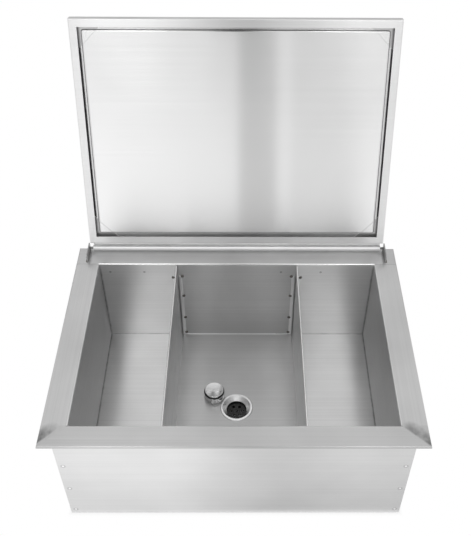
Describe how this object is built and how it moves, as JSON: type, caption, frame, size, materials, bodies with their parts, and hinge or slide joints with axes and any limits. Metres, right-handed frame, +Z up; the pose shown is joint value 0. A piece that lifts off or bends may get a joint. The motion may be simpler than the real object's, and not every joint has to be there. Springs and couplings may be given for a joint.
{
  "type": "drop-in ice bin",
  "caption": "Insulated stainless drop-in ice bin with a flat rim, a hinged lid, lift-out dividers in welded guides, and a floor drain with a loose plug.",
  "frame": {"origin": "centre of the casing's underside, which stands on the floor when the bin isn't in a counter", "axes": "+X to the user's right along the rim, +Y to the back where the lid is hinged, +Z up out of the tub"},
  "size_m": [0.711, 0.6682, 0.7646],
  "materials": {
    "liner_steel": "brushed stainless sheet, grain along the longer side",
    "casing_steel": "brushed stainless sheet",
    "lid_steel": "brushed stainless sheet",
    "lid_panel_steel": "finely brushed stainless sheet with soft reflections",
    "divider_steel": "brushed stainless sheet",
    "hinge_steel": "plain stainless steel",
    "rivet_steel": "bright stainless steel",
    "drain_chrome": "polished",
    "rubber": "matt black",
    "foam": "rigid closed-cell foam"
  },
  "bodies": {
    "bin": {"liner_wrap": "liner_steel", "liner_side_left": "liner_steel", "liner_side_right": "liner_steel", "casing_front": "casing_steel", "casing_back": "casing_steel", "casing_left": "casing_steel", "casing_right": "casing_steel", "casing_bottom": "casing_steel", "casing_rivets": "rivet_steel", "foam_front": "foam", "foam_back": "foam", "foam_left": "foam", "foam_right": "foam", "foam_floor": "foam", "guide_back_left_outer": "liner_steel", "guide_back_left_inner": "liner_steel", "guide_back_right_inner": "liner_steel", "guide_back_right_outer": "liner_steel", "guide_front_left_outer": "liner_steel", "guide_front_left_inner": "liner_steel", "guide_front_right_inner": "liner_steel", "guide_front_right_outer": "liner_steel", "hinge_ear_left": "hinge_steel", "hinge_ear_right": "hinge_steel", "hinge_rod": "hinge_steel", "drain_body": "drain_chrome", "drain_gasket": "rubber", "drain_backnut": "drain_chrome", "drain_strainer": "drain_chrome"},
    "lid": {"hinge_tube": "hinge_steel", "lid_skin": "lid_steel", "lid_insulation": "foam", "lid_liner": "lid_panel_steel", "lid_gusset_front_left": "lid_panel_steel", "lid_gusset_front_right": "lid_panel_steel", "lid_gusset_back_left": "lid_panel_steel", "lid_gusset_back_right": "lid_panel_steel"},
    "divider_left": {"divider_left": "divider_steel"},
    "divider_right": {"divider_right": "divider_steel"},
    "plug": {"plug_body": "drain_chrome", "plug_seal": "rubber"}
  },
  "joints": [
    {"name": "lid_hinge", "type": "hinge", "parent": "bin", "child": "lid", "pos_m": [0, 0.2525, 0.2825], "axis": [1, 0, 0], "range_deg": [0, 106.5]},
    {"name": "divider_left_lift", "type": "slide", "parent": "bin", "child": "divider_left", "axis": [0, 0, 1], "range_m": [0, 0.27]},
    {"name": "divider_right_lift", "type": "slide", "parent": "bin", "child": "divider_right", "axis": [0, 0, 1], "range_m": [0, 0.27]},
    {"name": "plug_lift", "type": "slide", "parent": "bin", "child": "plug", "axis": [0, 0, 1], "range_m": [0, 0.27]}
  ]
}
